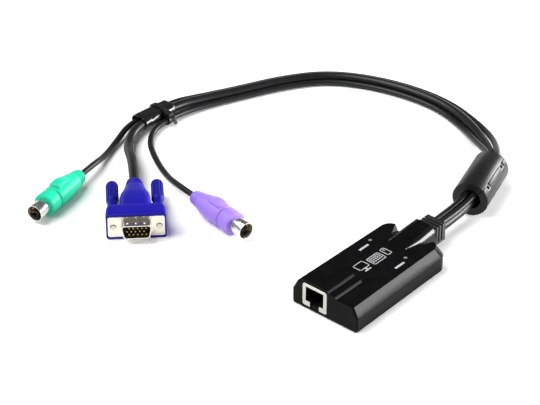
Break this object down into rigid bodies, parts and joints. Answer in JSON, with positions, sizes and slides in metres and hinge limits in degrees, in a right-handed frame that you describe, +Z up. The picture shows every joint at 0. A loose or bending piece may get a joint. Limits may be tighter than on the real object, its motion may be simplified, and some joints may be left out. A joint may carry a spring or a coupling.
{
  "type": "keyboard, video and mouse adapter cable",
  "caption": "Small network-socket adapter housing on a looped cable bundle with a clip-on ferrite, ending in a screw-locked video plug and round keyboard and mouse plugs.",
  "frame": {"origin": "middle of the footprint of the housing with its strain relief, on the surface it stands on", "axes": "+Z up; -Y is the way the network socket faces; +Y is where the cables leave the housing; +X to the right seen from behind the socket"},
  "size_m": [0.2279, 0.2524, 0.0204],
  "materials": {
    "case_black": "fine satin texture",
    "board_green": "solder mask",
    "shield_steel": "plated",
    "insert_black": "moulded",
    "contact_gold": "plated",
    "chip_black": "moulded",
    "crystal_can": "bright",
    "header_white": "moulded",
    "lead_jacket": "matte",
    "light_pipe": "clear",
    "screw_steel": "zinc plated",
    "relief_vinyl": "matte",
    "cable_jacket": "satin",
    "ferrite_case": "satin",
    "ferrite_ceramic": "sintered",
    "sleeve_vinyl": "shiny",
    "tie_nylon": "moulded",
    "video_blue": "moulded",
    "video_nickel": "nickel plated",
    "video_insulator": "moulded",
    "pin_gold": "plated",
    "grip_blue": "moulded",
    "mouse_green": "moulded",
    "keyboard_violet": "moulded",
    "barrel_nickel": "nickel plated",
    "plug_insulator": "moulded"
  },
  "bodies": {
    "adapter": {"upper_shell": "case_black", "lower_shell": "case_black", "circuit_board": "board_green", "jack_shield": "shield_steel", "jack_insert": "insert_black", "jack_contacts": "contact_gold", "controller_chip": "chip_black", "crystal": "crystal_can", "cable_header": "header_white", "inner_leads": "lead_jacket", "link_light": "light_pipe", "power_light": "light_pipe", "case_screws": "screw_steel", "strain_relief": "relief_vinyl", "video_cable": "cable_jacket", "mouse_cable": "cable_jacket", "keyboard_cable": "cable_jacket", "ferrite_base": "ferrite_case", "ferrite_core_base": "ferrite_ceramic", "branch_sleeve": "sleeve_vinyl", "cable_tie": "tie_nylon", "video_hood": "video_blue", "video_shell": "video_nickel", "video_insert": "video_insulator", "video_pins": "pin_gold", "mouse_boot": "mouse_green", "mouse_barrel": "barrel_nickel", "mouse_insert": "plug_insulator", "mouse_pins": "pin_gold", "keyboard_boot": "keyboard_violet", "keyboard_barrel": "barrel_nickel", "keyboard_insert": "plug_insulator", "keyboard_pins": "pin_gold"},
    "left_thumbscrew": {"left_thumb_grip": "grip_blue", "left_jackscrew": "screw_steel"},
    "right_thumbscrew": {"right_thumb_grip": "grip_blue", "right_jackscrew": "screw_steel"},
    "ferrite_lid_half": {"ferrite_lid": "ferrite_case", "ferrite_core_lid": "ferrite_ceramic"}
  },
  "joints": [
    {"name": "left_thumbscrew_turn", "type": "hinge", "parent": "adapter", "child": "left_thumbscrew", "pos_m": [-0.14211, -0.05672, 0.0079], "axis": [0.7137, -0.7004, 0], "continuous": true},
    {"name": "right_thumbscrew_turn", "type": "hinge", "parent": "adapter", "child": "right_thumbscrew", "pos_m": [-0.1246, -0.03887, 0.0079], "axis": [0.7137, -0.7004, 0], "continuous": true},
    {"name": "ferrite_lid_hinge", "type": "hinge", "parent": "adapter", "child": "ferrite_lid_half", "pos_m": [-0.0135, 0.09363, 0.00299], "axis": [0.309, -0.9511, 0], "range_deg": [0, 85]}
  ]
}
